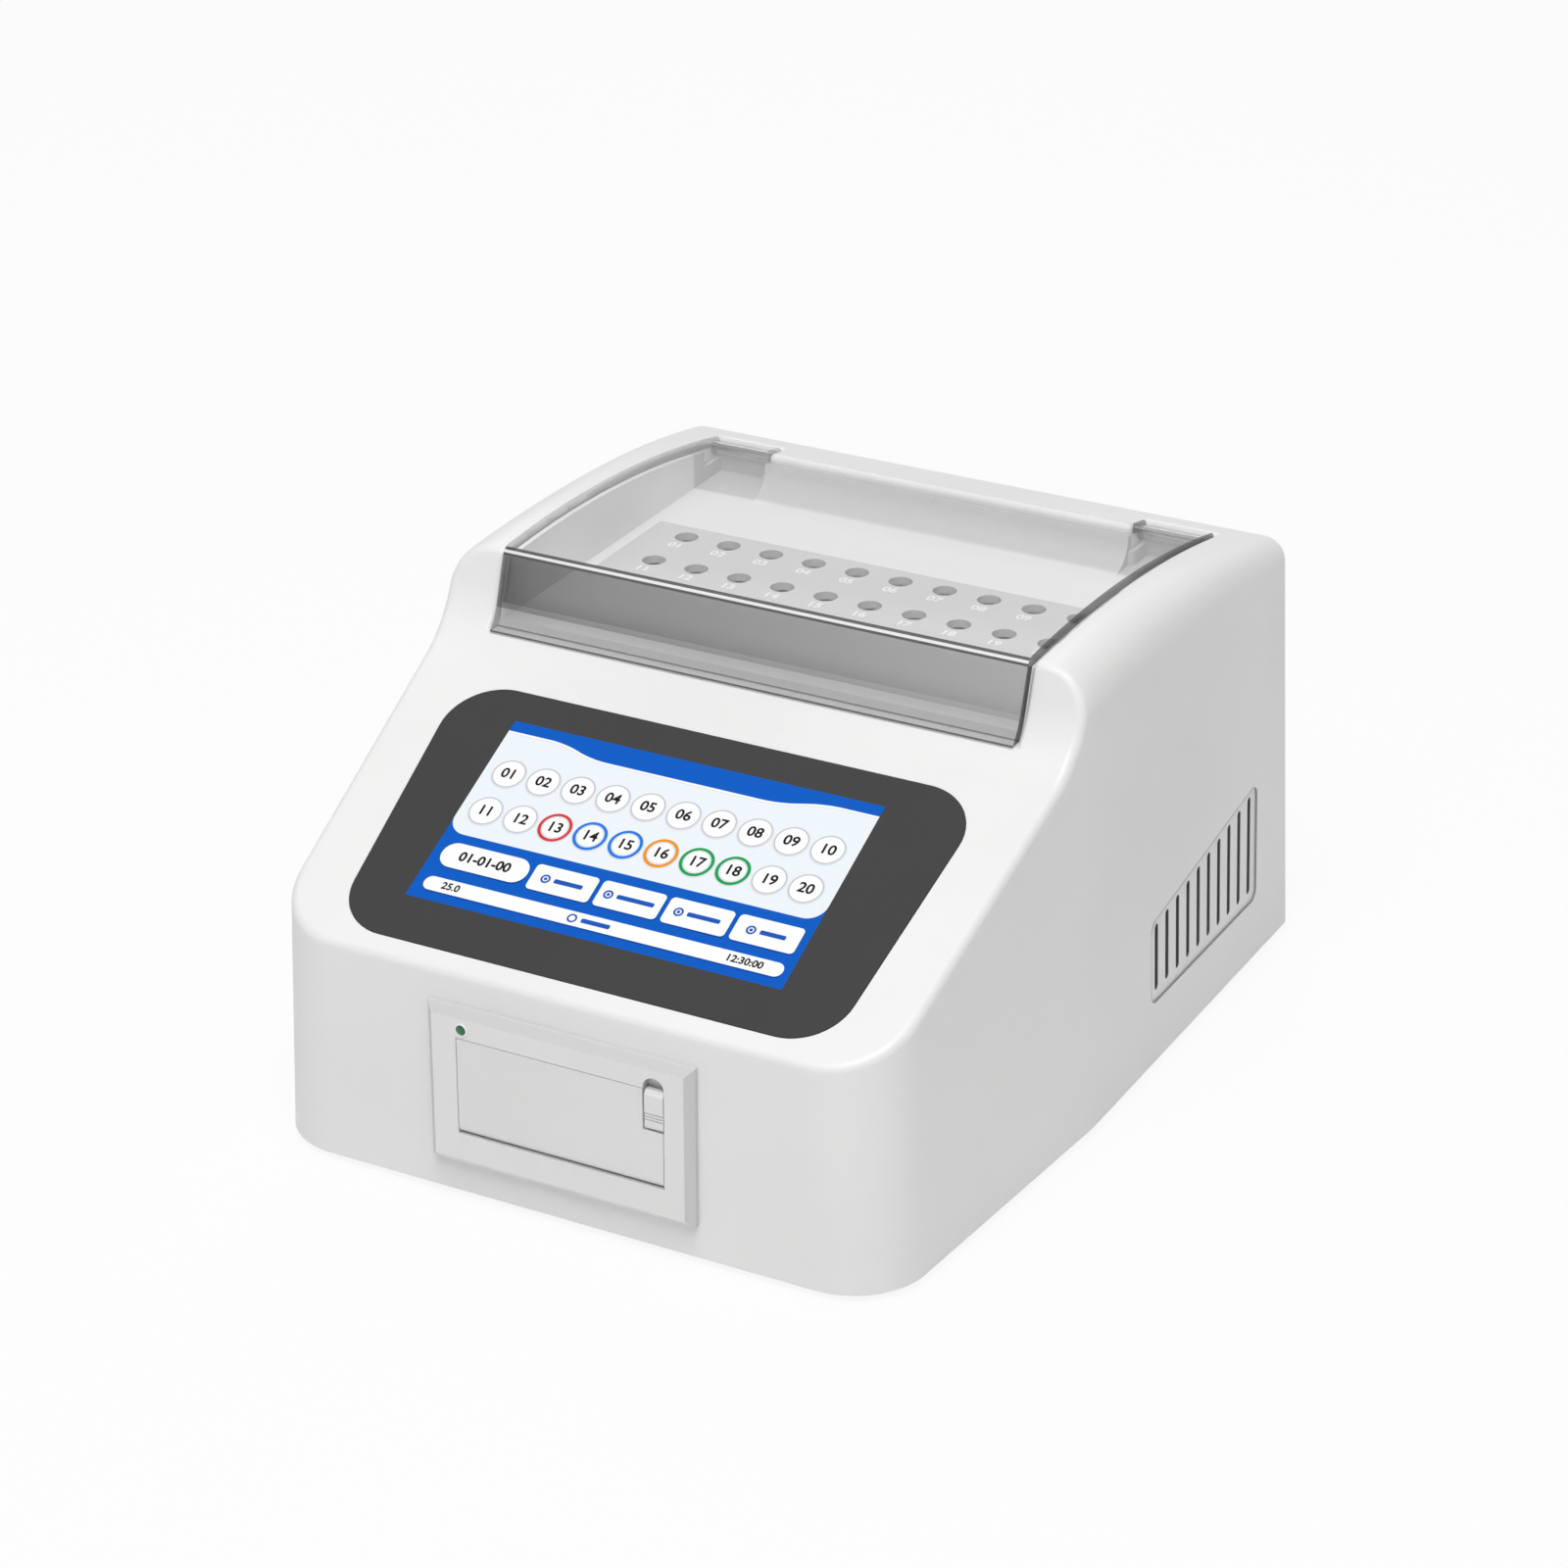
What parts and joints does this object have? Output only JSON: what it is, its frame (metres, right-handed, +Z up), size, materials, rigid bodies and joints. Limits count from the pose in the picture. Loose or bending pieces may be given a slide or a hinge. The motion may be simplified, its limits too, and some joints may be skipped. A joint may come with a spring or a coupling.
{
  "type": "erythrocyte sedimentation rate analyzer",
  "caption": "White bench analyzer with a clear hinged lid over two rows of tube holes, a touch screen set in its slope and a receipt printer in its front.",
  "frame": {"origin": "middle of the footprint on the table top, under the feet", "axes": "+Z up, -Y towards the user (printer and display side), +X to the user's right"},
  "size_m": [0.285, 0.3525, 0.194],
  "materials": {
    "white_plastic": "fine satin moulding",
    "tray_plastic": "smooth satin moulding",
    "deck_plastic": "fine matt",
    "rack_plastic": "milled matt",
    "clear_sheet": "polished clear sheet",
    "black_glass": "polished",
    "display": "smooth",
    "printer_plastic": "satin moulding",
    "dark_plastic": "fine matt",
    "steel": "bright rolled",
    "coated_steel": "powder coat",
    "pin_steel": "ground",
    "brass": "turned",
    "circuit_board": "solder mask",
    "rubber": "matt",
    "paper": "smooth paper",
    "card": "pressed card",
    "green_light": "clear tinted"
  },
  "bodies": {
    "instrument": {"housing": "white_plastic", "base_plate": "coated_steel", "foot_front_left": "rubber", "foot_front_right": "rubber", "foot_rear_left": "rubber", "foot_rear_right": "rubber", "base_screws": "steel", "well_tray": "tray_plastic", "tube_deck": "deck_plastic", "rack_top_plate": "rack_plastic", "rack_socket_plate": "rack_plastic", "rack_columns": "steel", "guide_rods": "pin_steel", "scan_motor": "dark_plastic", "main_board": "circuit_board", "board_standoffs": "brass", "power_supply": "coated_steel", "rear_panel": "coated_steel", "power_inlet": "dark_plastic", "switch_body": "dark_plastic", "serial_port": "steel", "usb_port": "steel", "fan_frame": "dark_plastic", "fan_guard": "pin_steel", "touch_glass": "black_glass", "lcd_panel": "display", "display_bracket": "steel", "printer_frame": "printer_plastic", "door_hinge_pins": "pin_steel", "latch_pin": "pin_steel", "printer_bay": "dark_plastic", "print_head": "dark_plastic", "status_led": "green_light", "lid_hinge_pin_left": "pin_steel", "lid_hinge_pin_right": "pin_steel", "panel_screws": "steel"},
    "lid": {"lid": "clear_sheet"},
    "printer_door": {"printer_door": "printer_plastic"},
    "printer_latch": {"printer_latch": "printer_plastic"},
    "platen": {"platen_roller": "rubber", "platen_shaft": "pin_steel"},
    "paper": {"paper_roll": "paper", "paper_core": "card"},
    "power_rocker": {"power_rocker": "dark_plastic"},
    "fan_rotor": {"fan_rotor": "dark_plastic"},
    "scan_unit": {"scan_carriage": "rack_plastic", "emitter_boards": "circuit_board", "sensor_board_front": "circuit_board", "sensor_board_rear": "circuit_board", "screw_nut": "brass"},
    "lead_screw": {"lead_screw": "pin_steel"}
  },
  "joints": [
    {"name": "lid_hinge", "type": "hinge", "parent": "instrument", "child": "lid", "pos_m": [0, 0.147, 0.17575], "axis": [-1, 0, 0], "range_deg": [0, 100]},
    {"name": "printer_door_hinge", "type": "hinge", "parent": "instrument", "child": "printer_door", "pos_m": [0, -0.173, 0.034], "axis": [1, 0, 0], "range_deg": [0, 80]},
    {"name": "latch_pivot", "type": "hinge", "parent": "instrument", "child": "printer_latch", "pos_m": [0.04025, -0.1743, 0.0557], "axis": [1, 0, 0], "range_deg": [0, 30], "stiffness_Nm_per_rad": 0.004},
    {"name": "platen_spin", "type": "hinge", "parent": "printer_door", "child": "platen", "pos_m": [0, -0.1645, 0.0635], "axis": [1, 0, 0], "continuous": true},
    {"name": "paper_spin", "type": "hinge", "parent": "instrument", "child": "paper", "pos_m": [0, -0.145, 0.045], "axis": [1, 0, 0], "continuous": true},
    {"name": "power_switch", "type": "hinge", "parent": "instrument", "child": "power_rocker", "pos_m": [0.078, 0.167, 0.085], "axis": [1, 0, 0], "range_deg": [-16, 0]},
    {"name": "fan_spin", "type": "hinge", "parent": "instrument", "child": "fan_rotor", "pos_m": [0, 0.159, 0.069], "axis": [0, 1, 0], "continuous": true},
    {"name": "scan_slide", "type": "slide", "parent": "instrument", "child": "scan_unit", "axis": [0, 0, 1], "range_m": [0, 0.08]},
    {"name": "screw_spin", "type": "hinge", "parent": "instrument", "child": "lead_screw", "pos_m": [0, 0.0646, 0.098], "axis": [0, 0, 1], "range_deg": [0, 3601]}
  ],
  "couplings": [
    {"joint": "screw_spin", "follows": "scan_slide", "rad_per_m": 785.4}
  ]
}
